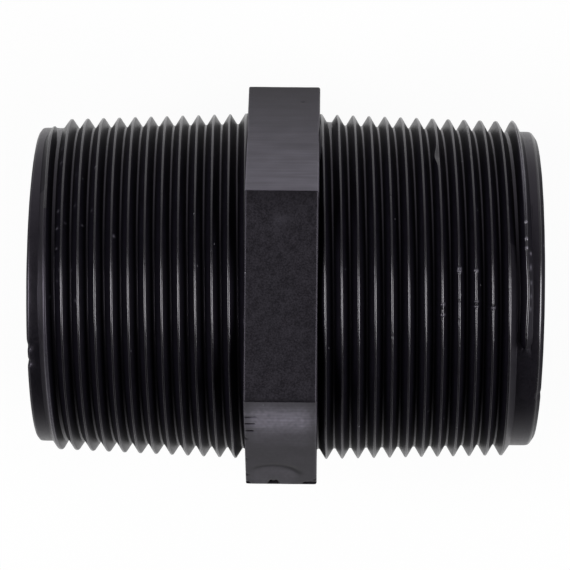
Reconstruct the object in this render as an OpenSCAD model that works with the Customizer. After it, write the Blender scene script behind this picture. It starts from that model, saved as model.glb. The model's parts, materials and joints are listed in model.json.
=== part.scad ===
// Hex nipple: a short plastic pipe fitting with a hexagon in the middle for a wrench
// and a tapered right-hand pipe thread on each side of it.
// The bore lies along X, the part lies on one flat of the hexagon, and +Z is up.
// The origin is on the bore's axis, half way along the hexagon.

/* [Hexagon] */
// Size across the flats
hex_across_flats = 48.26; // [48.26:0.01:60]
// Length along the bore
hex_length = 9.94; // [6:0.01:20]

/* [Bore] */
// Diameter of the plain bore, right through the part
bore_diameter = 38.1; // [30:0.1:41]

/* [Thread] */
// Threads in an inch of length
threads_per_inch = 11.5; // [8:0.5:14]
// Crest diameter where a thread meets the hexagon
crest_diameter = 48.26; // [47:0.01:48.26]
// Root diameter where a thread meets the hexagon
root_diameter = 45.34; // [44.5:0.01:46]
// Fall of the root's radius for each mm of length, a taper of 1 in 16 on the diameter
root_slope = 0.03125; // [0.02:0.00125:0.04]
// Width of the flat on a crest
crest_flat = 0.2; // [0.1:0.05:0.4]
// Width of the flat left at a root, between two turns
root_flat = 0.3; // [0.1:0.05:0.5]
// Straight facets in one turn of a ridge
facets = 48; // [24:12:60]

/* [Ends] */
// Diameter of the plain nose beyond each thread
nose_diameter = 43.8; // [43.8:0.01:44.5]
// Length from the hexagon's face to the left end
left_length = 28.8; // [28:0.1:36]
// Length from the hexagon's face to the right end
right_length = 29.9; // [29:0.1:36]
// Bevel on the left end's rim
left_bevel = 0.4; // [0.1:0.05:0.6]
// Bevel on the right end's rim
right_bevel = 0.7; // [0.1:0.05:1]

/* [Left ridge] */
// Fall of the left crest's radius for each mm of length
left_crest_slope = 0.04; // [0.025:0.0005:0.045]
// Distance out from the hexagon at which the left ridge crosses the -Y side
left_offset = 1.37; // [0:0.01:2.2]
// Distance out from the hexagon at which the left ridge has run out
left_reach = 26.77; // [20:0.01:26.8]
// Share of a turn over which the left ridge runs out
left_fade = 0.1; // [0.05:0.05:1]

/* [Right ridge] */
// Fall of the right crest's radius for each mm of length
right_crest_slope = 0.0305; // [0.025:0.0005:0.045]
// Distance out from the hexagon at which the right ridge crosses the +Y side
right_offset = 0.25; // [0:0.01:2.2]
// Distance out from the hexagon at which the right ridge has run out
right_reach = 27.45; // [20:0.01:27.5]
// Share of a turn over which the right ridge runs out
right_fade = 0.1; // [0.05:0.05:1]

/* [Hidden] */
$fn = 96;
inch = 25.4;
pitch = inch / threads_per_inch;
half_hex = hex_length / 2;
half_base = (pitch - root_flat) / 2;
half_crest = crest_flat / 2;
// A ridge's height where it has run out, as a share of its full height
least_height = 0.04;
// Pushes a facet's corners out so that its middle just touches the barrel
facet_reach = 1 / cos(180 / facets);
left_barrel_length = left_reach + half_base;
right_barrel_length = right_reach + half_base;
plastic = "#2b2a2f";

function root_radius(x) = root_diameter / 2 - root_slope * x;

// Carries a shape built out from x = 0 along +X to the right or the left face of the hexagon.
// The left one is turned half round, so its thread stays right-handed.
module on_right() { translate([half_hex, 0, 0]) children(); }
module on_left() { rotate([0, 0, 180]) translate([half_hex, 0, 0]) children(); }

// A ring about the X axis, from an outline of [radius, x] points
module ring(outline) { rotate([0, 90, 0]) rotate_extrude() polygon(outline); }

// Tapered tube wall under a thread
module barrel(length) {
    bore = bore_diameter / 2;
    ring([[bore, 0], [root_radius(0), 0], [root_radius(length), length], [bore, length]]);
}

// Plain lead at an end, from the barrel out to the bevelled rim
module nose(start, end, bevel) {
    bore = bore_diameter / 2;
    outer = nose_diameter / 2;
    ring([[bore, start], [outer, start], [outer, end - bevel], [outer - bevel, end], [bore, end]]);
}

// Corner of a ridge's section: its place along the axis, its height as a share of the crest's, and its angle
function corner(x, height, angle, crest_slope) =
    let (crest = crest_diameter / 2 - crest_slope * x)
    let (root = root_radius(x) * facet_reach)
    let (radius = root + height * (crest - root))
    [x, radius * cos(angle), radius * sin(angle)];

// Section of a ridge one facet on from the last: a cut-off V whose top widens as it runs out
function section(index, offset, reach, fade, crest_slope) =
    let (angle = 360 * index / facets)
    let (middle = offset + pitch * index / facets)
    let (height = max(least_height, min(1, (reach - middle) / (fade * pitch))))
    let (half_top = half_base + height * (half_crest - half_base))
    [
        corner(middle - half_base, 0, angle, crest_slope),
        corner(middle - half_top, height, angle, crest_slope),
        corner(middle + half_top, height, angle, crest_slope),
        corner(middle + half_base, 0, angle, crest_slope)
    ];

// Helical ridge that climbs out of the hexagon's face and runs out towards the nose
module ridge(offset, reach, fade, crest_slope) {
    first = floor(-(offset + half_base) / pitch * facets);
    last = floor((reach - offset) / pitch * facets);
    steps = last - first;
    points = [for (index = [first:last]) each section(index, offset, reach, fade, crest_slope)];
    near_cap = [[0, 1, 2], [0, 2, 3]];
    far_cap = [[2, 1, 0], [3, 2, 0]] + [for (face = [0:1]) [for (side = [0:2]) 4 * steps]];
    walls = [
        for (step = [0:steps - 1], side = [0:3])
            let (here = 4 * step + side)
            let (along = 4 * step + (side + 1) % 4)
            each [[here, here + 4, along + 4], [here, along + 4, along]]
    ];
    difference() {
        polyhedron(points, concat(near_cap, walls, far_cap));
        translate([-hex_length, -hex_across_flats, -hex_across_flats])
            cube([hex_length, 2 * hex_across_flats, 2 * hex_across_flats]);
    }
}

module hex_collar() {
    color(plastic)
    rotate([0, 90, 0])
    difference() {
        rotate([0, 0, 30])
            cylinder(h = hex_length, d = hex_across_flats / cos(30), center = true, $fn = 6);
        cylinder(h = 2 * hex_length, d = bore_diameter, center = true);
    }
}

module left_barrel() { color(plastic) on_left() barrel(left_barrel_length); }
module right_barrel() { color(plastic) on_right() barrel(right_barrel_length); }

module left_thread() {
    color(plastic) on_left() ridge(left_offset, left_reach, left_fade, left_crest_slope);
}

module right_thread() {
    color(plastic) on_right() ridge(right_offset, right_reach, right_fade, right_crest_slope);
}

module left_nose() { color(plastic) on_left() nose(left_barrel_length, left_length, left_bevel); }
module right_nose() { color(plastic) on_right() nose(right_barrel_length, right_length, right_bevel); }

hex_collar();
left_barrel();
right_barrel();
left_thread();
right_thread();
left_nose();
right_nose();
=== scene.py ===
"""A black plastic hex nipple, lying on a hexagon flat on a white table and seen from above."""

import json
import math
import random

import bpy
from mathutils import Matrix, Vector, noise


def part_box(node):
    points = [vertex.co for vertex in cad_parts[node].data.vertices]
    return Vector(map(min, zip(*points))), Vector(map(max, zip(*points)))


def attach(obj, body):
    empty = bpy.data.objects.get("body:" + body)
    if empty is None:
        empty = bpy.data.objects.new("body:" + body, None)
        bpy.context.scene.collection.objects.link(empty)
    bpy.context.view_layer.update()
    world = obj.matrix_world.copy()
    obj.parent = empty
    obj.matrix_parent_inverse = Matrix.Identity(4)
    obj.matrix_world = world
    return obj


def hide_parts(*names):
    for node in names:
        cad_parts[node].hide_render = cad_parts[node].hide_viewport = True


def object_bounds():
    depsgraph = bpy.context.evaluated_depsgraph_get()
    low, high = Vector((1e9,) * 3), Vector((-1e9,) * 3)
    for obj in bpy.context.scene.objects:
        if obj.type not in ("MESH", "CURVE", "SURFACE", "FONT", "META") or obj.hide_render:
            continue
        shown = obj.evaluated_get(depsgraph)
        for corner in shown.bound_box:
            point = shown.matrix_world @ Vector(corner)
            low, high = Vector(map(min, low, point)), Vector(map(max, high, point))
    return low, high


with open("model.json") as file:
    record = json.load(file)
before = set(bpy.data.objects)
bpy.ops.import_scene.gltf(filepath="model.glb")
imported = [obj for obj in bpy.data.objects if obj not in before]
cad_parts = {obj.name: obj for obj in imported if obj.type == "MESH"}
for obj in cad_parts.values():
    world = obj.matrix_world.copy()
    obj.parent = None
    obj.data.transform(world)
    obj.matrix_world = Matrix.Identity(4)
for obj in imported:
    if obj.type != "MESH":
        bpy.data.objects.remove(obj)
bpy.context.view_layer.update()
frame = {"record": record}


# Barrels
# The tube wall under each thread, in black polypropylene, one moulding with the rest of the nipple.
# Its bore is the smooth skin that the mould's core pin leaves. Outside, only a short plain lead shows,
# where the thread has run out.

MM = 0.001
half_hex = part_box("hex_collar")[1].x / MM
bore_radius = frame["record"]["mounts"][0]["dims"]["r_mm"]
nose_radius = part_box("left_nose")[1].z / MM
wall_under_thread = 0.3
barrel_segments = 240
crease_degrees = 30

# The root's radius at the hexagon, and its fall for each mm out from the hexagon's face.
root_at_hex = 22.67
root_slope = 0.034

# Distances out at which the plain leads start, and how far from there the wall's step up begins and ends.
right_lead_start = 28.2
left_lead_start = 27.2
lead_step = (-0.1, 0.05)

# Colours for pale wear and painted sheen, for grime and painted shade, and for dust, on the plastic.
pale_wear_and_sheen_colour = "#807c89"
shade_and_grime_colour = "#030303"
dust_colour = "#6b6970"

# A colour mix node's sockets: its two inputs and its result.
first_colour, second_colour, mixed_colour = 6, 7, 2


def root_radius(out):
    """Root radius of a thread at a distance out from the hexagon's face."""
    return root_at_hex - root_slope * out


def on_side(side, out, radius, angle):
    """A point in metres. Its angle is from +Y. The left side, -1, is the right one turned half round."""
    across = radius * math.cos(angle)
    up = radius * math.sin(angle)
    return (side * (half_hex + out) * MM, side * across * MM, up * MM)


def ring_faces(rows, columns):
    """Quads over a grid that wraps both ways."""
    faces = []
    for row in range(rows):
        next_row = (row + 1) % rows
        for column in range(columns):
            next_column = (column + 1) % columns
            faces.append((
                row * columns + column,
                row * columns + next_column,
                next_row * columns + next_column,
                next_row * columns + column,
            ))
    return faces


def add_piece(name, points, faces, sharp_degrees):
    """A smooth-shaded mesh piece whose creases over an angle stay sharp."""
    mesh = bpy.data.meshes.new(name)
    mesh.from_pydata(points, [], faces)
    mesh.polygons.foreach_set("use_smooth", [True] * len(mesh.polygons))
    mesh.set_sharp_from_angle(angle=math.radians(sharp_degrees))
    piece = bpy.data.objects.new(name, mesh)
    bpy.context.scene.collection.objects.link(piece)
    return piece


def turned(name, side, outline, segments, worn=None):
    """A ring about the bore's axis, from a closed outline of (distance out, radius) points.
    worn(out, radius, angle) may move a point."""
    points = []
    for segment in range(segments):
        angle = 2 * math.pi * segment / segments
        for out, radius in outline:
            if worn:
                out, radius = worn(out, radius, angle)
            points.append(on_side(side, out, radius, angle))
    return add_piece(name, points, ring_faces(segments, len(outline)), crease_degrees)


def linear(hex_colour):
    """An sRGB hex colour as linear RGBA."""
    levels = [int(hex_colour[start:start + 2], 16) / 255 for start in (1, 3, 5)]
    colour = [level / 12.92 if level <= 0.04045 else ((level + 0.055) / 1.055) ** 2.4 for level in levels]
    return colour + [1.0]


def add_node(tree, kind, settings=None, inputs=None):
    """Adds a node. settings are its properties. inputs, by socket name or number, are values or outputs."""
    node = tree.nodes.new(kind)
    for name, value in (settings or {}).items():
        setattr(node, name, value)
    for socket, value in (inputs or {}).items():
        if isinstance(value, bpy.types.NodeSocket):
            tree.links.new(value, node.inputs[socket])
        else:
            node.inputs[socket].default_value = value
    return node


def moulded_polypropylene(name, dark, light, shine, roughness, uneven, specular,
                          grain_mm, grain_depth_mm, streak_mm):
    """Black polypropylene as it leaves the mould: satin, near black, and violet in its shine.
    The eye sees a fine pale grain, lines along the bore, a few specks of dust, pale scuffs and dark grime.
    The same paling and darkening also carries painted highlights and painted shade.
    The grain and the lines are drawn coarser than the real tenth of a millimetre, so that they show."""
    ior = 1.5

    # The mottle is the grain with a share of wider clouds. It is drawn out between two levels of its noise.
    cloud_mm = 7 * grain_mm
    cloud_share = 0.3
    tone_noise = (0.38, 0.72)
    gloss_noise = (0.36, 0.64)

    # The lines are noise squeezed along X. They make worn places stronger or weaker.
    streak_squeeze = 0.06
    streak_noise = (0.3, 0.7)
    streak_strength = (0.82, 1.18)
    streak_depth_mm = 0.002

    # Dust is spread evenly, and then a share of the places is left clean.
    speck_spacing_mm = 2.2
    speck_mm = 0.11
    clean_share = 0.72

    material = bpy.data.materials.new(name)
    material.use_nodes = True
    tree = material.node_tree
    shader = tree.nodes["Principled BSDF"]
    shader.inputs["IOR"].default_value = ior
    shader.inputs["Specular IOR Level"].default_value = specular
    shader.inputs["Specular Tint"].default_value = linear(shine)
    place = add_node(tree, "ShaderNodeTexCoord").outputs["Object"]

    grain = add_node(tree, "ShaderNodeTexNoise", None, {
        "Vector": place, "Scale": 1 / (grain_mm * MM), "Detail": 2.0}).outputs[0]
    cloud = add_node(tree, "ShaderNodeTexNoise", None, {
        "Vector": place, "Scale": 1 / (cloud_mm * MM), "Detail": 3.0}).outputs[0]
    mottle = add_node(tree, "ShaderNodeMix", None, {
        "Factor": cloud_share, "A": grain, "B": cloud}).outputs[0]
    tone = add_node(tree, "ShaderNodeMapRange", None, {
        "Value": mottle, "From Min": tone_noise[0], "From Max": tone_noise[1]}).outputs[0]
    base = add_node(tree, "ShaderNodeMix", {"data_type": "RGBA"}, {
        "Factor": tone, first_colour: linear(dark), second_colour: linear(light)}).outputs[mixed_colour]

    drawn = add_node(tree, "ShaderNodeMapping", None, {
        "Vector": place, "Scale": (streak_squeeze, 1.0, 1.0)}).outputs[0]
    streak = add_node(tree, "ShaderNodeTexNoise", None, {
        "Vector": drawn, "Scale": 1 / (streak_mm * MM), "Detail": 2.0}).outputs[0]
    line = add_node(tree, "ShaderNodeMapRange", None, {
        "Value": streak, "From Min": streak_noise[0], "From Max": streak_noise[1],
        "To Min": streak_strength[0], "To Max": streak_strength[1]}).outputs[0]
    # The wear attribute pales the colour for scuffs and painted highlights, and darkens it for grime and
    # painted shade.
    wear = add_node(tree, "ShaderNodeAttribute", {"attribute_name": "wear"}).outputs["Fac"]
    paling = add_node(tree, "ShaderNodeMath", {"operation": "MULTIPLY"}, {0: wear, 1: line}).outputs[0]
    rubbed_with_painted_light = add_node(tree, "ShaderNodeMix", {"data_type": "RGBA"}, {
        "Factor": paling, first_colour: base, second_colour: linear(pale_wear_and_sheen_colour)}).outputs[mixed_colour]
    darkening = add_node(tree, "ShaderNodeMath", {"operation": "MULTIPLY"}, {0: wear, 1: -1.0}).outputs[0]
    darkened = add_node(tree, "ShaderNodeMix", {"data_type": "RGBA"}, {
        "Factor": darkening, first_colour: rubbed_with_painted_light, second_colour: linear(shade_and_grime_colour)}).outputs[mixed_colour]

    cells = add_node(tree, "ShaderNodeTexVoronoi", None, {
        "Vector": place, "Scale": 1 / (speck_spacing_mm * MM)})
    near = add_node(tree, "ShaderNodeMath", {"operation": "LESS_THAN"}, {
        0: cells.outputs["Distance"], 1: speck_mm / speck_spacing_mm}).outputs[0]
    chance = add_node(tree, "ShaderNodeSeparateColor", None, {"Color": cells.outputs["Color"]}).outputs[0]
    chosen = add_node(tree, "ShaderNodeMath", {"operation": "GREATER_THAN"}, {
        0: chance, 1: clean_share}).outputs[0]
    speck = add_node(tree, "ShaderNodeMath", {"operation": "MULTIPLY"}, {0: near, 1: chosen}).outputs[0]
    dusted = add_node(tree, "ShaderNodeMix", {"data_type": "RGBA"}, {
        "Factor": speck, first_colour: darkened, second_colour: linear(dust_colour)}).outputs[mixed_colour]
    tree.links.new(dusted, shader.inputs["Base Color"])

    gloss = add_node(tree, "ShaderNodeMapRange", None, {
        "Value": mottle, "From Min": gloss_noise[0], "From Max": gloss_noise[1],
        "To Min": roughness - uneven, "To Max": roughness + uneven}).outputs[0]
    tree.links.new(gloss, shader.inputs["Roughness"])
    pits = add_node(tree, "ShaderNodeBump", None, {
        "Height": grain, "Distance": grain_depth_mm * MM}).outputs[0]
    lines = add_node(tree, "ShaderNodeBump", None, {
        "Height": streak, "Distance": streak_depth_mm * MM, "Normal": pits}).outputs[0]
    tree.links.new(lines, shader.inputs["Normal"])
    return material


def finish_piece(piece, node, materials, wear=None):
    """Gives a piece its materials, its worn places and its body, and lets it stand for its CAD node.
    wear has a value for each vertex: up to 1 where it is pale from scuffs and painted highlights,
    down to -1 where it is dark from grime and painted shade."""
    worn = piece.data.attributes.new("wear", "FLOAT", "POINT")
    worn.data.foreach_set("value", wear or [0.0] * len(piece.data.vertices))
    for material in materials:
        piece.data.materials.append(material)
    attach(piece, "root")
    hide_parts(node)


def barrel(name, node, side, lead_start):
    """The tube wall, from the hexagon's face to the nose. Beyond the thread it steps up to the plain lead."""
    low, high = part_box(node)
    length = max(abs(low.x), abs(high.x)) / MM - half_hex
    outline = [
        (0, bore_radius),
        (length, bore_radius),
        (length, nose_radius),
        (lead_start + lead_step[1], nose_radius),
        (lead_start + lead_step[0], nose_radius - wall_under_thread),
        (0, root_radius(0) - wall_under_thread),
    ]
    finish_piece(turned(name, side, outline, barrel_segments), node, [plain_plastic])


# The plain moulded skin is an even satin black.
plain_plastic = moulded_polypropylene(
    "Polypropylene, plain moulded",
    dark="#0e0d11",
    light="#18161b",
    shine="#f3e9ff",
    roughness=0.36,
    uneven=0.04,
    specular=0.5,
    grain_mm=0.3,
    grain_depth_mm=0.003,
    streak_mm=0.5,
)
barrel("right_barrel_wall", "right_barrel", 1, right_lead_start)
barrel("left_barrel_wall", "left_barrel", -1, left_lead_start)


# Hexagon
# The wrench hexagon in the middle, 48 mm across its flats, moulded with the two threads in the same plastic.
# The mould gives it a mottled skin with fine lines along the bore, and a little draft on its side faces.
# Handling has eased its edges, rubbed its flats paler here and there, and left nicks, chips and scratches.
# The upper flat's paling towards the front and the lower flat's pale band are painted reflection, and its
# dents are painted darker as shade.

hex_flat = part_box("hex_collar")[1].z / MM
sixth_turn = math.pi / 3
hex_side = 2 * hex_flat * math.tan(sixth_turn / 2)
corner_round = 0.15
least_corner_round = 0.05
left_edge_round = 0.22
right_edge_round = 0.3
left_draft = 0.1
right_draft = 0.18
flat_steps = 160
corner_steps = 5
edge_steps = 4
width_steps = 64
hex_crease_degrees = 40
upper_flat, front_flat, lower_flat = 0, 1, 2

# A place on a flat is (distance along X, distance from the flat's upper edge in the picture), in mm.
# Scratches on the lower flat: start, end and depth.
scratches = [
    ((-4.7, 5.0), (-3.4, 4.9), 0.16),
    ((-4.7, 7.1), (-3.6, 7.1), 0.18),
    ((-4.6, 9.3), (-3.8, 9.4), 0.15),
]
scratch_half_width = 0.1625

# The edge of a round mark on the lower flat. It is firmest to the right, and fades out to the left and below.
mark_middle = (-1.1, 25.0)
mark_radius = 3.9
mark_depth = 0.06
mark_half_width = 0.5
mark_firmness = 0.6
mark_added_firmness = 0.8
mark_firmest = 1.8
mark_firm_half_width = 0.9375
mark_left_fade = (-4.4, -2.8)
mark_low_fade = 2.0

# Raised pale scuffs on the lower flat: start, end and height.
scuffs = [
    ((-3.3, 7.95), (-2.3, 7.9), 0.05),
    ((-1.45, 7.5), (-1.4, 7.9), 0.04),
    ((2.8, 7.3), (2.82, 7.6), 0.025),
    ((0.3, 3.6), (0.7, 3.6), 0.02),
]
scuff_half_width = 0.25

# Chips out of the lower flat's far edge: place along X, half length, depth and reach in from the edge.
chips = [
    (-4.7, 0.35, 0.3, 0.5625),
    (-1.45, 0.3, 0.5, 0.9375),
    (-0.75, 0.35, 0.5, 0.9375),
    (4.2, 0.75, 0.45, 0.5625),
    (3.3, 0.3, 0.2, 0.5625),
]

# Small nicks: flat, place, half width and depth.
nicks = [
    (front_flat, (4.55, 2.0), 0.16, 0.15),
    (front_flat, (4.3, 1.4), 0.12, 0.1),
    (front_flat, (4.75, 15.0), 0.12, 0.08),
    (lower_flat, (-4.95, 12.0), 0.3, 0.2),
    (lower_flat, (-4.95, 19.0), 0.25, 0.15),
    (lower_flat, (-4.95, 24.5), 0.3, 0.2),
    (lower_flat, (4.9, 26.2), 0.3, 0.15),
    (upper_flat, (2.6, 4.3), 0.2, 0.06),
]

# The moulded skin's slight waves and its unevenly worn edges, as depths and as waves for each mm.
wave_depth = 0.012
wave_scale = 0.35
worn_edge_depth = 0.05
worn_edge_reach = 0.5
worn_edge_scale = (1.0, 0.9)
flat_gap = 7.3
wave_seed = 4.0
worn_edge_seed = 9.0

# How pale or dark the flats are, where 1 is fully pale and -1 fully dark. It holds scuffs and patches, and
# also painted reflection and painted shade, as noted below. All of it is patchy.
patch_strength = 0.25
patch_scale = 0.4
patch_gap = 5.0
# Nicks, scratches, chips and the mark's edge are painted darker for their depth, as painted shade; raised
# scuffs come out paler.
dent_shade_and_scuff_paling = 3
# The upper flat is painted paler towards the front, a patchy painted reflection of the table.
upper_painted_sheen = 0.42
upper_painted_sheen_rise = 1.15

# The lower flat has a pale band near its upper edge, a painted reflection, a weaker pale band below it and a
# pale round mark, and is plainer at its sides.
lower_rub = 0.06
lower_patch_strength = 0.35
lower_patch_scale = (2.2, 1.1)
lower_patch_seed = 3.0
band_painted_sheen = 0.6
band_middle = 5.7
band_half_widths = (4.0, 3.625)
weak_band_paling = 0.07
weak_band_middle = 12.0
weak_band_half_width = 2.1875
mark_rub = 0.08
mark_rub_fade = 1.0
side_fade = (3.0, 4.9)
side_fade_share = 0.7

# The front flat has a faint pale cloud, and is darker along its long edges, over widths that are shares of
# the flat.
cloud_rub = 0.05
cloud_middle = (-0.1, 3.7)
cloud_half_width = 1.375
upper_edge_darkening = 0.45
upper_darkening_width = 0.0625
lower_edge_darkening = 0.7
lower_darkening_width = 0.01125


def smooth(start, end, value):
    """A smooth step from 0 at start to 1 at end."""
    share = min(1.0, max(0.0, (value - start) / (end - start)))
    return share * share * (3 - 2 * share)


def bell(gap, half_width):
    """A smooth bump: 1 in the middle, about a third at half_width and almost nothing at twice that."""
    return math.exp(-(gap / half_width) ** 2)


def wobble(x, y, z):
    """Smooth seeded noise between -1 and 1."""
    return noise.noise(Vector((x, y, z)))


def distance_to_line(point, start, end):
    """How far a point in the plane is from a line between two ends."""
    along = Vector(end) - Vector(start)
    share = (Vector(point) - Vector(start)).dot(along) / along.length_squared
    return (Vector(point) - Vector(start) - along * min(1.0, max(0.0, share))).length


def corner_row(inset):
    """Points round the hexagon, drawn in by inset, with rounded corners: (y, z, flat, share along the flat).
    The first corner is at +Y, and the flats follow from there over the top."""
    round_radius = max(least_corner_round, corner_round - inset)
    reach = (hex_flat - inset - round_radius) / math.cos(sixth_turn / 2)
    row = []
    for corner in range(6):
        middle = sixth_turn * corner
        following = middle + sixth_turn
        for step in range(corner_steps):
            turn = middle + sixth_turn * (step / (corner_steps - 1) - 0.5)
            flat = corner - 1 if step < corner_steps / 2 else corner
            row.append((
                reach * math.cos(middle) + round_radius * math.cos(turn),
                reach * math.sin(middle) + round_radius * math.sin(turn),
                flat % 6,
                0.0 if flat == corner else 1.0,
            ))
        start = row[-1]
        turn = following - sixth_turn / 2
        end_y = reach * math.cos(following) + round_radius * math.cos(turn)
        end_z = reach * math.sin(following) + round_radius * math.sin(turn)
        for step in range(1, flat_steps):
            share = step / flat_steps
            row.append((
                start[0] + share * (end_y - start[0]),
                start[1] + share * (end_z - start[1]),
                corner,
                share,
            ))
    return row


def mark_edge(x, down):
    """How deep the round mark's edge lies at a place on the lower flat."""
    firm = mark_firmness + mark_added_firmness * bell(x - mark_firmest, mark_firm_half_width)
    firm *= smooth(mark_left_fade[0], mark_left_fade[1], x)
    firm *= 1 - smooth(mark_middle[1] - mark_low_fade, mark_middle[1], down)
    return mark_depth * firm * bell(math.dist((x, down), mark_middle) - mark_radius, mark_half_width)


def hex_damage(x, flat, share):
    """How deep a place lies under the true hexagon from damage. Scuffs stand out, so they count as less."""
    down = share * hex_side
    depth = 0.0
    for nicked, middle, half_width, deep in nicks:
        if flat == nicked:
            depth += deep * bell(math.dist((x, down), middle), half_width)
    if flat == lower_flat:
        for start, end, deep in scratches:
            depth += deep * bell(distance_to_line((x, down), start, end), scratch_half_width)
        for start, end, height in scuffs:
            depth -= height * bell(distance_to_line((x, down), start, end), scuff_half_width)
        depth += mark_edge(x, down)
        for middle, half_length, deep, reach in chips:
            depth += deep * bell(x - middle, half_length) * bell(hex_side - down, reach)
    return depth


def hex_waviness(x, flat, share):
    """How far the moulded skin lies under the true hexagon: a slight shrinkage, and edges worn unevenly."""
    down = flat * flat_gap + share * hex_side
    depth = wave_depth * (1 + wobble(x * wave_scale, down * wave_scale, wave_seed))
    near_edge = max(0.0, 1 - (half_hex - abs(x)) / worn_edge_reach)
    unevenness = max(0.0, wobble(x * worn_edge_scale[0], down * worn_edge_scale[1], worn_edge_seed))
    return depth + worn_edge_depth * near_edge * unevenness


def hex_wear_and_shading(x, flat, share):
    """How pale or dark a place is. The upper flat pales towards the front and the lower one has a pale band,
    both painted reflection, and a weaker band; the front flat is darker along its long edges."""
    down = share * hex_side
    patch = 1 + patch_strength * wobble(x * patch_scale, down * patch_scale, flat * patch_gap)
    if flat == upper_flat:
        return upper_painted_sheen * min(1.0, upper_painted_sheen_rise * share) * patch
    if flat == lower_flat:
        patch += lower_patch_strength * wobble(
            x * lower_patch_scale[0], down * lower_patch_scale[1], lower_patch_seed)
        paling = band_painted_sheen * bell(down - band_middle, band_half_widths[0 if down < band_middle else 1])
        paling += weak_band_paling * bell(down - weak_band_middle, weak_band_half_width)
        paling += mark_rub * smooth(mark_radius, mark_radius - mark_rub_fade, math.dist((x, down), mark_middle))
        paling *= 1 - side_fade_share * smooth(side_fade[0], side_fade[1], abs(x))
        return (lower_rub + paling) * patch
    if flat == front_flat:
        cloud = cloud_rub * bell(math.dist((x, down), cloud_middle), cloud_half_width)
        low_darkening = lower_edge_darkening * bell(1 - share, lower_darkening_width)
        return cloud - low_darkening - upper_edge_darkening * bell(share, upper_darkening_width) * patch
    return 0.0


def hexagon():
    """The hexagon, as rows of points from the bore's left end, round the outside, to the bore's right end.
    The last faces close the ring along the bore, which is plain."""
    quarter = [math.pi / 2 * step / edge_steps for step in range(edge_steps + 1)]
    left = [
        (-half_hex + left_edge_round * (1 - math.sin(turn)), left_edge_round * (1 - math.cos(turn)))
        for turn in reversed(quarter)
    ]
    right = [
        (half_hex - right_edge_round * (1 - math.sin(turn)), right_edge_round * (1 - math.cos(turn)))
        for turn in quarter
    ]
    start = left[-1][0]
    width = right[0][0] - start
    middle = [(start + width * step / width_steps, 0.0) for step in range(1, width_steps)]
    bore_turns = [math.atan2(z, y) for y, z, flat, share in corner_row(0)]
    bore = [(bore_radius * math.cos(turn) * MM, bore_radius * math.sin(turn) * MM) for turn in bore_turns]
    points = [(-half_hex * MM, y, z) for y, z in bore]
    wear = [0.0] * len(bore)
    for x, inset in left + middle + right:
        draft = left_draft if x < 0 else right_draft
        for y, z, flat, share in corner_row(inset):
            damage = hex_damage(x, flat, share)
            shrink = 1 - (damage + hex_waviness(x, flat, share)) / hex_flat
            drawn_in = 1 - draft / half_hex * abs(z) / hex_flat
            points.append((x * drawn_in * MM, y * shrink * MM, z * shrink * MM))
            wear.append(max(-1.0, hex_wear_and_shading(x, flat, share) - dent_shade_and_scuff_paling * damage))
    points += [(half_hex * MM, y, z) for y, z in bore]
    wear += [0.0] * len(bore)
    faces = ring_faces(len(points) // len(bore), len(bore))
    piece = add_piece("hexagon", points, faces, hex_crease_degrees)
    for face in piece.data.polygons[-len(bore):]:
        face.material_index = 1
    finish_piece(piece, "hex_collar", [hexagon_plastic, plain_plastic], wear)


# The hexagon's skin is rougher and more mottled than the rest, so its flats look grey. The bore stays plain.
hexagon_plastic = moulded_polypropylene(
    "Polypropylene, moulded hexagon",
    dark="#121114",
    light="#2b292e",
    shine="#f3e9ff",
    roughness=0.46,
    uneven=0.04,
    specular=0.3,
    grain_mm=0.2,
    grain_depth_mm=0.005,
    streak_mm=0.55,
)
hexagon()


# Threads
# Right-hand tapered pipe threads, 11.5 to the inch, formed in the mould on both sides of the hexagon.
# Use has rubbed and burred their crests, and their flanks stay matt. Each ridge ends abruptly, where the
# plain lead begins. Burrs and lumps are painted paler as highlights, nicks and pits darker as shade, and the
# flanks' darker finish is painted shade.

threads_per_inch = 11.5
pitch = 25.4 / threads_per_inch
half_pitch = pitch / 2

# A ridge's section. A crest's half width is a share of its rounding. A foot is measured from the ridge's
# middle, and a fading ridge keeps a least share of its spread.
crest_at_hex = 24.12
crest_round = 0.15
crest_reach = 0.6
root_round = 0.15
least_round = 0.02
fillet_share = 0.8
ridge_foot = 0.97
least_spread = 0.1

# The last turn. Its inner foot draws in, and the floor on both sides of it rises to the lead, over stretches
# given in turns before the ridge's end. A shoulder is eased in and out over a part of a turn.
last_inner_foot = 0.8
last_foot_turns = (0.65, 0.5)
inner_lead_turns = (0.012, 0.0)
outer_lead_turns = (1.13, 1.05)
shoulder_start = 0.05
shoulder_stop = 0.1

# Steps of the mesh in a turn, in a rounding, in a flank, on each side of a small mark and in its half length.
# They give the points in half a section and the columns of faces over a ridge.
turn_steps = 160
arc_steps = 4
flank_steps = 6
half_points = 2 * arc_steps + flank_steps + 3
ridge_columns = 2 * half_points - 2
mark_steps = 7
steps_in_mark = 3
least_step = 0.0001

# The skin's hidden side, and how its ends are drawn in under the hexagon's face and the lead.
burial = 0.25
wall_lean = 0.2
hexagon_reach = 0.8
lead_reach = 0.5
lead_overlap = 0.3
lead_sink = 0.06
hidden_fall = 3.0

# The mould's fillet against the hexagon, and the filled root in front of it. Where they fade out round the
# nipple is a share of the fillet's half spread.
fillet_height = 1.45
fillet_length = 0.85
fillet_spread = (0.5, 1.0)
filled_root_out = (1.5, 2.1)
filled_root_spread = (0.1, 0.4)

# Slight chance wear of the crests, and how much paler a burr or a lump is painted for each mm that it stands
# out, as a painted highlight; nicks and pits are painted darker the same way, as shade.
crest_wear = 0.015
crest_wear_scale = 3.0
crest_wear_seed = (2.0, 0.5)
crest_blunting = 0.003
crest_blunting_scale = 1.3
crest_blunting_seed = (5.0, 7.5)
relief_shading_per_mm = 5
relief_shading_limits = (-0.3, 0.5)
relief_shaded_share = 0.8
bell_reach = 3

# Order of the plastic's finishes on a thread and on a nose rim with a rubbed edge and a bevel in painted
# shade.
plain_finish, crest_finish, flank_finish = 0, 1, 2


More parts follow.
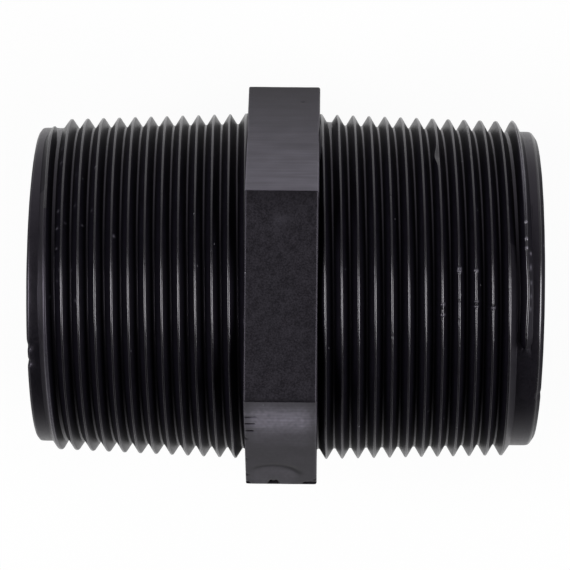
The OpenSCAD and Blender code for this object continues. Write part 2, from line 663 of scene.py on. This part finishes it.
def half_profile(height, share, blunt, high_round, full_foot, low_round):
    """Half of a ridge's section, from the root's middle to the crest's: (offset, height) in mm.
    share is how much of a full ridge is there, and blunt widens the crest, which has a radius of high_round.
    full_foot is how far out a full ridge reaches, and low_round is the fillet there."""
    if share == 0:
        return [(half_pitch * (1 - step / (half_points - 1)), 0.0) for step in range(half_points)]
    high_round *= share
    half_top = high_round * crest_reach + blunt
    foot = half_top + (full_foot - half_top) * (least_spread + (1 - least_spread) * share)
    slope = math.atan2(height, foot - half_top)
    tangent = math.tan(slope / 2)
    low_round = min(low_round, max(least_round, fillet_share * (half_pitch - foot) / tangent))
    points = [(half_pitch, 0.0)]
    for step in range(arc_steps + 1):
        turn = slope * step / arc_steps
        points.append((foot + low_round * (tangent - math.sin(turn)), low_round * (1 - math.cos(turn))))
    arc = []
    for step in range(arc_steps, -1, -1):
        turn = slope * step / arc_steps
        arc.append((
            half_top - high_round * (tangent - math.sin(turn)),
            height - high_round * (1 - math.cos(turn)),
        ))
    low = Vector(points[-1])
    points += [tuple(low.lerp(Vector(arc[0]), step / flank_steps)) for step in range(1, flank_steps)]
    return points + arc + [(0.0, height)]


def kept_inside(out, limit):
    """A distance out, drawn in smoothly where it would pass the hexagon's face or a limit under the lead."""
    if out < 0:
        return hexagon_reach * (math.exp(out / hexagon_reach) - 1)
    if out > limit:
        return limit + lead_reach * (1 - math.exp((limit - out) / lead_reach))
    return out


def filled(out, turns, fill):
    """How high the mould's fillet stands over the root. It is fullest on one side of the nipple.
    fill is (turns at the fullest, half spread in turns, reach at full height, height of the filled root)."""
    fullest, spread, full_reach, filled_root = fill
    away = abs((turns - fullest + 0.5) % 1.0 - 0.5) / spread
    low = filled_root * (1 - smooth(filled_root_out[0], filled_root_out[1], out))
    low *= 1 - smooth(filled_root_spread[0], filled_root_spread[1], away)
    high = fillet_height * (1 - max(0.0, out - full_reach) / fillet_length)
    high *= 1 - smooth(fillet_spread[0], fillet_spread[1], away)
    return max(0.0, low, high)


def floor_radius(out, rise):
    """The surface that a ridge stands on: the root, or the plain lead where rise is 1."""
    return root_radius(out) + (nose_radius - root_radius(out)) * rise


def shouldered(turns, shoulders):
    """The crest's rounding, the foot and the plainness of a ridge's outer side."""
    rounding = crest_round
    foot = ridge_foot
    plainness = 0.0
    for first_turn, last_turn, shoulder_round, shoulder_foot, plain in shoulders:
        eased = smooth(first_turn - shoulder_start, first_turn, turns)
        eased *= 1 - smooth(last_turn, last_turn + shoulder_stop, turns)
        rounding += (shoulder_round - crest_round) * eased
        foot += (shoulder_foot - ridge_foot) * eased
        plainness += plain * eased
    return rounding, foot, plainness


def struck(turns, blows):
    """What blows have done to the crest: the height lost, the widening, and how pale or dark it is painted:
    burrs paler, as highlights, and dents darker, as shade.
    """
    loss = 0.0
    widened = 0.0
    relief_shading = 0.0
    for turn, degrees, half_length, depth, widening in blows:
        gap = (turns - turn) * 360 - degrees
        if abs(gap) < bell_reach * half_length:
            strength = bell(gap, half_length)
            loss += depth * strength
            widened += widening * strength
            relief_shading += strength * min(relief_shading_limits[1], max(relief_shading_limits[0], -relief_shading_per_mm * depth))
    return loss, widened, relief_shading


def pitted(turns, out, pits):
    """How deep a place lies in pits. A lump's depth is less than nothing."""
    depth = 0.0
    for pit_out, degrees, half_width, half_length, deep in pits:
        gap = (turns * 360 - degrees + 180) % 360 - 180
        if abs(gap) < bell_reach * half_length and abs(out - pit_out) < bell_reach * half_width:
            depth += deep * bell(gap, half_length) * bell(out - pit_out, half_width)
    return depth


def thread_rows(offset, lead_start, blows, pits):
    """Where the skin's sections stand, in turns: evenly, and closer about small marks, so that they show."""
    first = math.floor(-(offset + half_pitch) / pitch * turn_steps)
    last = math.ceil((lead_start + half_pitch - offset) / pitch * turn_steps)
    rows = [index / turn_steps for index in range(first, last + 1)]
    marks = []
    for turn, degrees, half_length, depth, widening in blows:
        marks.append((turn + degrees / 360, half_length / 360))
    for pit_out, degrees, half_width, half_length, depth in pits:
        whole_turns = round((pit_out - offset) / pitch - degrees / 360)
        marks.append((whole_turns + degrees / 360, half_length / 360))
    for middle, half_length in marks:
        rows += [middle + half_length * step / steps_in_mark for step in range(-mark_steps, mark_steps + 1)]
    rows.sort()
    return [row for row, before in zip(rows, [rows[0] - 1] + rows) if row - before > least_step]


def thread(name, node, side, offset, end, fade, jogs, lean, crest_slope, lead_start, fill, shoulders, sink,
           dull, blows, pits):
    """The skin of one thread, wound out from the hexagon's face as a tube with a ridge-shaped section.
    offset is the ridge's distance out at its turn 0. It fades over some turns and is gone at its end.
    A jog is (turns, shift, half length in degrees) of a bend in the crest.
    lean is how far the thread's +Y side is moulded towards -X. crest_slope is the crest's fall in each mm.
    A shoulder is (first turn, last turn, crest rounding, foot, 1 if plain) of a ridge's outer flank.
    sink is (first turn, last turn, depth) of a fall of the crest.
    dull is (first turn, last turn) of a crest that isn't rubbed.
    A blow is (turn, degrees, half length in degrees, depth, widening) on the crest. A minus depth is a burr.
    A pit is (distance out, degrees, half width along the bore, half length in degrees, depth)."""
    draft = right_draft if side > 0 else left_draft
    rows = thread_rows(offset, lead_start, blows, pits)
    points = []
    wear = []
    shares = []
    plain_rows = []
    for turns in rows:
        angle = 2 * math.pi * turns
        middle = offset + pitch * turns - side * lean * max(0.0, side * math.cos(angle)) ** 2
        share = min(1.0, max(0.0, (end - turns) / fade))
        inner_rise = smooth(end - inner_lead_turns[0], end - inner_lead_turns[1], turns)
        outer_rise = smooth(end - outer_lead_turns[0], end - outer_lead_turns[1], turns)

        loss, widened, relief_shading = struck(turns, blows)
        loss += sink[2] * smooth(sink[0], sink[1], turns)
        loss += crest_wear * (
            1 + wobble(angle * crest_wear_scale, side * crest_wear_seed[0], crest_wear_seed[1]))
        ground = floor_radius(middle, (inner_rise + outer_rise) / 2)
        crest = ground + (crest_at_hex - crest_slope * middle - loss - ground) * share
        blunt = crest_blunting * (
            1 + wobble(angle * crest_blunting_scale, side * crest_blunting_seed[0], crest_blunting_seed[1]))

        drawn_in = smooth(end - last_foot_turns[0], end - last_foot_turns[1], turns)
        inner_foot = ridge_foot + (last_inner_foot - ridge_foot) * drawn_in
        inner_height = crest - floor_radius(middle, inner_rise)
        inner_half = half_profile(inner_height, share, blunt + widened, crest_round, inner_foot, root_round)
        outer_crest, outer_foot, outer_plain = shouldered(turns, shoulders)
        outer_root = max(least_round, root_round * (1 - outer_rise))
        outer_height = crest - floor_radius(middle, outer_rise)
        outer_half = half_profile(outer_height, share, blunt, outer_crest, outer_foot, outer_root)
        section = [(-along, height) for along, height in inner_half] + outer_half[-2::-1]
        section += [(half_pitch - wall_lean, -burial), (wall_lean - half_pitch, -burial)]

        bend = sum(shift * bell((turns - turn) * 360, half_length) for turn, shift, half_length in jogs)
        for along, height in section:
            bent = middle + along + bend * (1 - abs(along) / half_pitch)
            out = kept_inside(bent, lead_start + lead_overlap)
            pit = 0.0
            if height >= 0:
                height = max(height, filled(middle + along, turns, fill))
                pit = pitted(turns, out, pits)
            radius = floor_radius(out, outer_rise if along > 0 else inner_rise) + height - pit
            radius -= lead_sink * smooth(lead_start, lead_start + lead_overlap, out)
            hexagon_face = -draft * abs(math.sin(angle)) * radius / hex_flat
            radius -= hidden_fall * max(0.0, hexagon_face - out)
            points.append(on_side(side, out, radius, angle))
            # Crests are painted paler at burrs, as highlights, and darker at dents, as shade; pits are
            # painted darker and lumps paler.
            wear.append((relief_shading if height > relief_shaded_share * inner_height else 0.0) - relief_shading_per_mm * pit)
        shares.append(share)
        plain_rows.append(outer_plain)

    columns = len(section)
    faces = ring_faces(len(rows), columns)[:-columns]
    faces.append(tuple(range(columns))[::-1])
    faces.append(tuple(range(len(points) - columns, len(points))))
    piece = add_piece(name, points, [face[::-1] for face in faces], crease_degrees)
    for face in piece.data.polygons:
        row, column = divmod(face.index, columns)
        from_root = min(column, ridge_columns - 1 - column)
        plain_flank = column >= half_points and plain_rows[row] > 0.5
        if shares[min(row + 1, len(rows) - 1)] == 0:
            continue
        if from_root > arc_steps + flank_steps:
            face.material_index = plain_finish if dull[0] < rows[row] < dull[1] else crest_finish
        elif from_root > arc_steps and not plain_flank:
            face.material_index = flank_finish
    finish_piece(piece, node, [plain_plastic, crest_plastic, flank_plastic], wear)


def small_blows(seed, count, turns):
    """Scattered small nicks along a crest."""
    chance = random.Random(seed)
    blows = []
    for blow in range(count):
        turn = chance.randrange(turns)
        degrees = chance.uniform(0, 360)
        half_length = chance.uniform(0.4, 1.2)
        depth = chance.uniform(0.01, 0.05)
        widening = chance.uniform(0.0, 0.015)
        blows.append((turn, degrees, half_length, depth, widening))
    return blows


# The right thread's larger blows: a dent, burrs and nicks where the crests face up, and a raised last crest.
# The raised ones are painted paler, as highlights, and the sunk ones darker, as shade.
right_blows = [
    (7, 37.5, 3.8, 0.25, 0.4),
    (7, 92.2, 0.5, -0.05, 0.06),
    (7, 94.0, 0.6, 0.06, 0.0),
    (7, 95.6, 0.5, -0.05, 0.1),
    (8, 80.5, 0.4, -0.05, 0.06),
    (8, 81.4, 0.5, -0.07, 0.12),
    (8, 91.0, 0.4, 0.06, 0.0),
    (9, 81.2, 0.45, -0.07, 0.1),
    (9, 91.2, 0.4, -0.05, 0.08),
    (9, 92.0, 0.3, 0.06, 0.0),
    (9, 92.8, 0.4, -0.05, 0.08),
    (10, 92.3, 0.3, 0.05, 0.0),
    (10, 93.2, 0.5, -0.06, 0.08),
    (12, 42.0, 20.0, -0.05, 0.0),
    (12, 64.5, 0.4, -0.1, 0.02),
    (12, 70.2, 0.4, -0.1, 0.02),
    (12, 73.3, 0.4, -0.1, 0.02),
]

# The left thread's last crest, raised along one stretch and painted paler there, as a highlight.
left_blows = [(11, 45.0, 30.0, -0.04, 0.02)]

# A rough seam beside the right thread's end, and small pits and lumps in the left thread's grooves.
# Lumps are painted paler, as glints, and pits darker, as shade.
right_pits = [
    (27.9, 74.9, 0.1, 0.6, -0.1),
    (27.9, 79.7, 0.1, 0.9, -0.1),
    (27.95, 84.9, 0.1, 0.7, -0.08),
    (27.95, 89.5, 0.1, 0.7, -0.06),
    (27.9, 93.8, 0.1, 0.7, -0.06),
]
left_pits = [
    (24.97, 147.4, 0.12, 0.45, -0.06),
    (24.95, 143.1, 0.15, 0.8, 0.08),
    (24.85, 139.3, 0.12, 0.45, -0.06),
    (24.82, 129.6, 0.2, 0.4, 0.08),
    (24.76, 118.7, 0.12, 0.45, -0.05),
    (24.83, 112.4, 0.12, 0.4, -0.06),
    (24.82, 105.3, 0.12, 0.4, -0.06),
    (24.81, 104.2, 0.12, 0.4, 0.08),
    (25.13, 102.5, 0.12, 0.4, -0.03),
    (24.36, 98.0, 0.12, 0.4, -0.03),
    (24.65, 94.3, 0.12, 0.4, -0.03),
    (25.55, 88.8, 0.12, 0.5, -0.05),
    (23.71, 114.1, 0.12, 0.4, -0.03),
    (22.77, 98.0, 0.12, 0.4, -0.04),
    (22.7, 133.8, 0.12, 0.4, -0.03),
    (22.58, 120.8, 0.12, 0.4, -0.03),
    (22.17, 87.8, 0.12, 0.4, -0.06),
    (21.43, 113.3, 0.12, 0.4, -0.06),
    (21.34, 112.2, 0.12, 0.4, 0.08),
    (20.32, 118.8, 0.12, 0.4, -0.03),
    (20.1, 135.8, 0.12, 0.4, -0.06),
    (18.98, 83.9, 0.2, 0.6, 0.08),
    (17.2, 109.3, 0.12, 0.5, -0.07),
    (11.32, 77.4, 0.2, 0.6, 0.08),
]

# Rubbed crests are smooth, and shine in thin bright lines.
crest_plastic = moulded_polypropylene(
    "Polypropylene, rubbed crests",
    dark="#0e0d11",
    light="#18161b",
    shine="#fbf8ff",
    roughness=0.26,
    uneven=0.01,
    specular=0.9,
    grain_mm=0.25,
    grain_depth_mm=0.0005,
    streak_mm=0.5,
)

# Flanks that nothing rubs stay matt, and are the darkest places: their darker colour and weaker shine than
# the plain skin are painted shade in the grooves.
flank_plastic = moulded_polypropylene(
    "Polypropylene, matt flanks",
    dark="#09080c",
    light="#110f17",
    shine="#f3e9ff",
    roughness=0.36,
    uneven=0.02,
    specular=0.2,
    grain_mm=0.25,
    grain_depth_mm=0.001,
    streak_mm=0.5,
)

thread(
    "right_thread_skin",
    "right_thread",
    side=1,
    offset=0.25,
    end=12.306,
    fade=0.012,
    jogs=[(12.12, 0.14, 50.0), (12.245, 0.24, 10.0)],
    lean=0.06,
    crest_slope=0.0305,
    lead_start=right_lead_start,
    fill=(0.0, 0.16, 0.25, 0.4),
    shoulders=[(11.22, 11.75, 0.2, 1.09, 1), (11.9, 12.12, 0.3, 0.97, 0)],
    sink=(12.16, 12.24, 0.5),
    dull=(0.0, 0.0),
    blows=right_blows + small_blows(seed=3, count=24, turns=12),
    pits=right_pits,
)
thread(
    "left_thread_skin",
    "left_thread",
    side=-1,
    offset=1.395,
    end=11.51,
    fade=0.08,
    jogs=[],
    lean=0.09,
    crest_slope=0.04,
    lead_start=left_lead_start,
    fill=(0.5, 0.16, 0.25, 0.0),
    shoulders=[(10.9, 11.3, 0.3, 0.97, 1), (11.4, 11.6, 0.3, 0.97, 0)],
    sink=(0.0, 1.0, 0.0),
    dull=(11.19, 11.33),
    blows=left_blows + small_blows(seed=8, count=16, turns=12),
    pits=left_pits,
)


# Noses
# The plain leads beyond the threads, which guide the nipple into a fitting. Both are part of the moulding.
# The right rim has a matt bevel in the flanks' darker finish, painted shade, and a rubbed edge in the crests'
# finish. The left one is only eased, and carries a few knocks.

rim_steps = 5
ease_steps = 3
nose_segments = 480

# Slight chance wear of the rims. It and the knocks reach in from the end, and push the end back by a share.
rim_wear = 0.02
rim_wear_scale = 9.0
rim_wear_seed = (3.0, 2.5)
knock_reach = 1.0
knock_push = 0.6

# Knocks in the rims: place round the rim in degrees, half length in degrees and depth in mm.
left_knocks = [(70.6, 1.5, 0.25), (64.5, 1.2, 0.3), (67.0, 2.0, 0.12)]
right_knocks = [(128.5, 1.2, 0.15)]


def nose(name, node, side, rim_length, rim_depth, edge_round, ease_length, ease_depth, inside_round, rubbed_with_painted_light,
         knocks):
    """The plain end ring. It eases down a little, turns over a rounded edge and ends in a bevelled rim."""
    low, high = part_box(node)
    start = min(abs(low.x), abs(high.x)) / MM - half_hex
    end = max(abs(low.x), abs(high.x)) / MM - half_hex
    rim_start = end - rim_length
    slope = math.atan2(rim_depth, rim_length)
    edge_reach = edge_round * math.tan(slope / 2)
    outline = [
        (start, bore_radius),
        (end - inside_round, bore_radius),
        (end, bore_radius + inside_round),
        (end, nose_radius - ease_depth - rim_depth),
    ]
    bevel = len(outline) - 1
    for step in range(rim_steps, -1, -1):
        turn = slope * step / rim_steps
        outline.append((
            rim_start - edge_reach + edge_round * math.sin(turn),
            nose_radius - ease_depth - edge_round * (1 - math.cos(turn)),
        ))
    for step in range(ease_steps - 1, -1, -1):
        share = step / ease_steps
        outline.append((
            rim_start - edge_reach - ease_length * (1 - share),
            nose_radius - ease_depth * share ** 2,
        ))
    outline.append((start, nose_radius))

    def worn(out, radius, angle):
        """Knocks the rim in."""
        at_rim = max(0.0, 1 - (end - out) / knock_reach)
        at_rim *= max(0.0, (radius - bore_radius) / (nose_radius - bore_radius))
        depth = rim_wear * (1 + wobble(angle * rim_wear_scale, side * rim_wear_seed[0], rim_wear_seed[1]))
        for degrees, half_length, deep in knocks:
            depth += deep * bell(math.degrees(angle) - degrees, half_length)
        return out - depth * at_rim * knock_push, radius - depth * at_rim

    piece = turned(name, side, outline, nose_segments, worn)
    finishes = [plain_plastic]
    # The bevel takes the flanks' darker finish, as painted shade, and the rounded edge the crests' shinier
    # one.
    if rubbed_with_painted_light:
        finishes += [crest_plastic, flank_plastic]
        for face in piece.data.polygons:
            column = face.index % len(outline)
            if column == bevel:
                face.material_index = flank_finish
            elif bevel < column <= bevel + rim_steps:
                face.material_index = crest_finish
    finish_piece(piece, node, finishes)


nose(
    "right_nose_lead",
    "right_nose",
    side=1,
    rim_length=0.6,
    rim_depth=0.85,
    edge_round=0.45,
    ease_length=0.5,
    ease_depth=0.03,
    inside_round=0.2,
    rubbed_with_painted_light=True,
    knocks=right_knocks,
)
nose(
    "left_nose_lead",
    "left_nose",
    side=-1,
    rim_length=0.3,
    rim_depth=0.38,
    edge_round=0.3,
    ease_length=0.4,
    ease_depth=0.02,
    inside_round=0.2,
    rubbed_with_painted_light=False,
    knocks=left_knocks,
)


# Table
# A plain white table top, wide enough to be the whole background. It shows white and keeps a little of the
# nipple's soft shadow. What the plastic mirrors is a painted glow instead, graded along Y, with a painted
# shadow where the nipple stands in the light.

# Half its width and its level, in metres.
table_half_width = 1.5
table_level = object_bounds()[0][2]

# The camera sees mostly plain white, and a little of the lit paint, which keeps the shadow.
table_colour = "#f4f4f4"
camera_white = 0.94

# How bright the painted glow that the plastic mirrors is, at a distance along Y, in mm.
mirrored_levels = [
    (-400, 0.05),
    (-160, 0.17),
    (-90, 0.36),
    (-55, 0.6),
    (-35, 0.85),
    (0, 1.0),
    (40, 1.0),
    (85, 0.85),
    (160, 0.7),
    (400, 0.6),
]

# The painted shadow in the mirrored glow beyond the nipple's ends: where it fades along Y, where it starts
# along X and its depth.
shadow_fade = (35, 60)
shadow_start = (45, 65)
shadow_depth = 0.8

# Further out along X the painted glow is bright again.
far_rise = (180, 300)
far_brightness = 0.9


def set_stops(ramp, levels):
    """Gives a colour ramp its grey levels, as (place, level)."""
    for index, (place, level) in enumerate(levels):
        if index < 2:
            stop = ramp.elements[index]
            stop.position = place
        else:
            stop = ramp.elements.new(place)
        stop.color = (level, level, level, 1.0)


corners = [(-1, -1), (1, -1), (1, 1), (-1, 1)]
table_points = [(x * table_half_width, y * table_half_width, table_level) for x, y in corners]
table_mesh = bpy.data.meshes.new("table")
table_mesh.from_pydata(table_points, [], [(0, 1, 2, 3)])
table = bpy.data.objects.new("table", table_mesh)
bpy.context.scene.collection.objects.link(table)

table_paint = bpy.data.materials.new("White table paint")
table_paint.use_nodes = True
tree = table_paint.node_tree
tree.nodes.clear()
spot = add_node(tree, "ShaderNodeTexCoord").outputs["Object"]
spot_parts = add_node(tree, "ShaderNodeSeparateXYZ", None, {"Vector": spot})

first_place = mirrored_levels[0][0]
last_place = mirrored_levels[-1][0]
along_y = add_node(tree, "ShaderNodeMapRange", None, {
    "Value": spot_parts.outputs["Y"], "From Min": first_place * MM, "From Max": last_place * MM}).outputs[0]
fall = add_node(tree, "ShaderNodeValToRGB", None, {"Fac": along_y})
set_stops(fall.color_ramp, [
    ((place - first_place) / (last_place - first_place), level) for place, level in mirrored_levels])
aside = add_node(tree, "ShaderNodeMath", {"operation": "ABSOLUTE"}, {
    0: spot_parts.outputs["X"]}).outputs[0]
off_middle = add_node(tree, "ShaderNodeMath", {"operation": "ABSOLUTE"}, {
    0: spot_parts.outputs["Y"]}).outputs[0]
level_with = add_node(tree, "ShaderNodeMapRange", None, {
    "Value": off_middle, "From Min": shadow_fade[0] * MM, "From Max": shadow_fade[1] * MM,
    "To Min": shadow_depth, "To Max": 0.0}).outputs[0]
beside = add_node(tree, "ShaderNodeMapRange", None, {
    "Value": aside, "From Min": shadow_start[0] * MM, "From Max": shadow_start[1] * MM}).outputs[0]
shadow = add_node(tree, "ShaderNodeMath", {"operation": "MULTIPLY"}, {0: level_with, 1: beside}).outputs[0]
unshadowed = add_node(tree, "ShaderNodeMath", {"operation": "SUBTRACT"}, {0: 1.0, 1: shadow}).outputs[0]
near_level = add_node(tree, "ShaderNodeMath", {"operation": "MULTIPLY"}, {
    0: fall.outputs[0], 1: unshadowed}).outputs[0]
far_level = add_node(tree, "ShaderNodeMapRange", None, {
    "Value": aside, "From Min": far_rise[0] * MM, "From Max": far_rise[1] * MM,
    "To Min": 0.0, "To Max": far_brightness}).outputs[0]
mirrored_level = add_node(tree, "ShaderNodeMath", {"operation": "MAXIMUM"}, {
    0: near_level, 1: far_level}).outputs[0]
# Glossy and transmission rays see this painted glow, not the lit table.
shaded = add_node(tree, "ShaderNodeEmission", None, {"Strength": mirrored_level}).outputs[0]

rays = add_node(tree, "ShaderNodeLightPath")
mirrored = add_node(tree, "ShaderNodeMath", {"operation": "MAXIMUM"}, {
    0: rays.outputs["Is Glossy Ray"], 1: rays.outputs["Is Transmission Ray"]}).outputs[0]
camera_share = add_node(tree, "ShaderNodeMath", {"operation": "MULTIPLY"}, {
    0: rays.outputs["Is Camera Ray"], 1: camera_white}).outputs[0]
matt = add_node(tree, "ShaderNodeBsdfDiffuse", None, {"Color": linear(table_colour)}).outputs[0]
white = add_node(tree, "ShaderNodeEmission", None, {"Strength": 1.0}).outputs[0]
shown = add_node(tree, "ShaderNodeMixShader", None, {0: camera_share, 1: matt, 2: white}).outputs[0]
surface = add_node(tree, "ShaderNodeMixShader", None, {0: mirrored, 1: shown, 2: shaded}).outputs[0]
add_node(tree, "ShaderNodeOutputMaterial", None, {"Surface": surface})
table_mesh.materials.append(table_paint)


# Light
# Two soft boxes, of white cloth over a lamp, stand beyond the nipple's two ends and look down at it.
# The room is dim, paler towards +Y, where a wall is, and a little darker overhead.

# Sizes in metres, with the radiance of the cloth and the headings in which the boxes stand.
lamp_width = 0.28
lamp_length = 0.325
lamp_distance = 0.57
lamp_radiance = 10.1
lamp_directions = [(-0.78, -0.06, 0.63), (0.89, -0.13, 0.45)]

# How bright the room is, by heading: 0 is -Y and 1 is +Y.
room_levels = [
    (0.0, 0.03),
    (0.19, 0.03),
    (0.3, 0.06),
    (0.41, 0.14),
    (0.64, 0.12),
    (0.75, 0.2),
    (0.845, 0.36),
    (0.925, 0.55),
    (1.0, 0.8),
]

# The upward part of a heading at which the room begins to darken overhead, and its brightness straight up.
overhead_start = 0.8
overhead_share = 0.6

for direction in lamp_directions:
    towards = Vector(direction).normalized()
    lamp = bpy.data.lights.new("soft_box", "AREA")
    lamp.shape = "RECTANGLE"
    lamp.size = lamp_width
    lamp.size_y = lamp_length
    lamp.energy = lamp_radiance * math.pi * lamp_width * lamp_length
    soft_box = bpy.data.objects.new("soft_box", lamp)
    soft_box.location = towards * lamp_distance
    soft_box.rotation_euler = towards.to_track_quat("Z", "Y").to_euler()
    bpy.context.scene.collection.objects.link(soft_box)

room = bpy.data.worlds.new("room")
bpy.context.scene.world = room
room.use_nodes = True
tree = room.node_tree
heading = add_node(tree, "ShaderNodeTexCoord").outputs["Generated"]
heading_parts = add_node(tree, "ShaderNodeSeparateXYZ", None, {"Vector": heading})
across_room = add_node(tree, "ShaderNodeMapRange", None, {
    "Value": heading_parts.outputs["Y"], "From Min": -1.0, "From Max": 1.0}).outputs[0]
glow = add_node(tree, "ShaderNodeValToRGB", None, {"Fac": across_room})
set_stops(glow.color_ramp, room_levels)
overhead = add_node(tree, "ShaderNodeMapRange", None, {
    "Value": heading_parts.outputs["Z"], "From Min": overhead_start, "From Max": 1.0,
    "To Min": 1.0, "To Max": overhead_share}).outputs[0]
tree.links.new(glow.outputs[0], tree.nodes["Background"].inputs["Color"])
tree.links.new(overhead, tree.nodes["Background"].inputs["Strength"])


# Camera
# It looks almost straight down, from where the photograph was taken.
# Its focal length is in pixels of the picture, its place and nearest view in mm, and its turns in degrees.

image_pixels = 570
focal_pixels = 2742.0
camera_place = (3.675, 21.158, 383.247)
camera_turns = (-3.132, 0.507, 0.498)
nearest_view = 10
camera = bpy.data.cameras.new("camera")
camera.sensor_width = 36.0
camera.lens = focal_pixels / image_pixels * camera.sensor_width
camera.clip_start = nearest_view * MM
viewpoint = bpy.data.objects.new("camera", camera)
viewpoint.location = Vector(camera_place) * MM
viewpoint.rotation_mode = "ZXY"
viewpoint.rotation_euler = [math.radians(turn) for turn in camera_turns]
bpy.context.scene.collection.objects.link(viewpoint)
bpy.context.scene.camera = viewpoint
bpy.context.scene.view_settings.view_transform = "Standard"
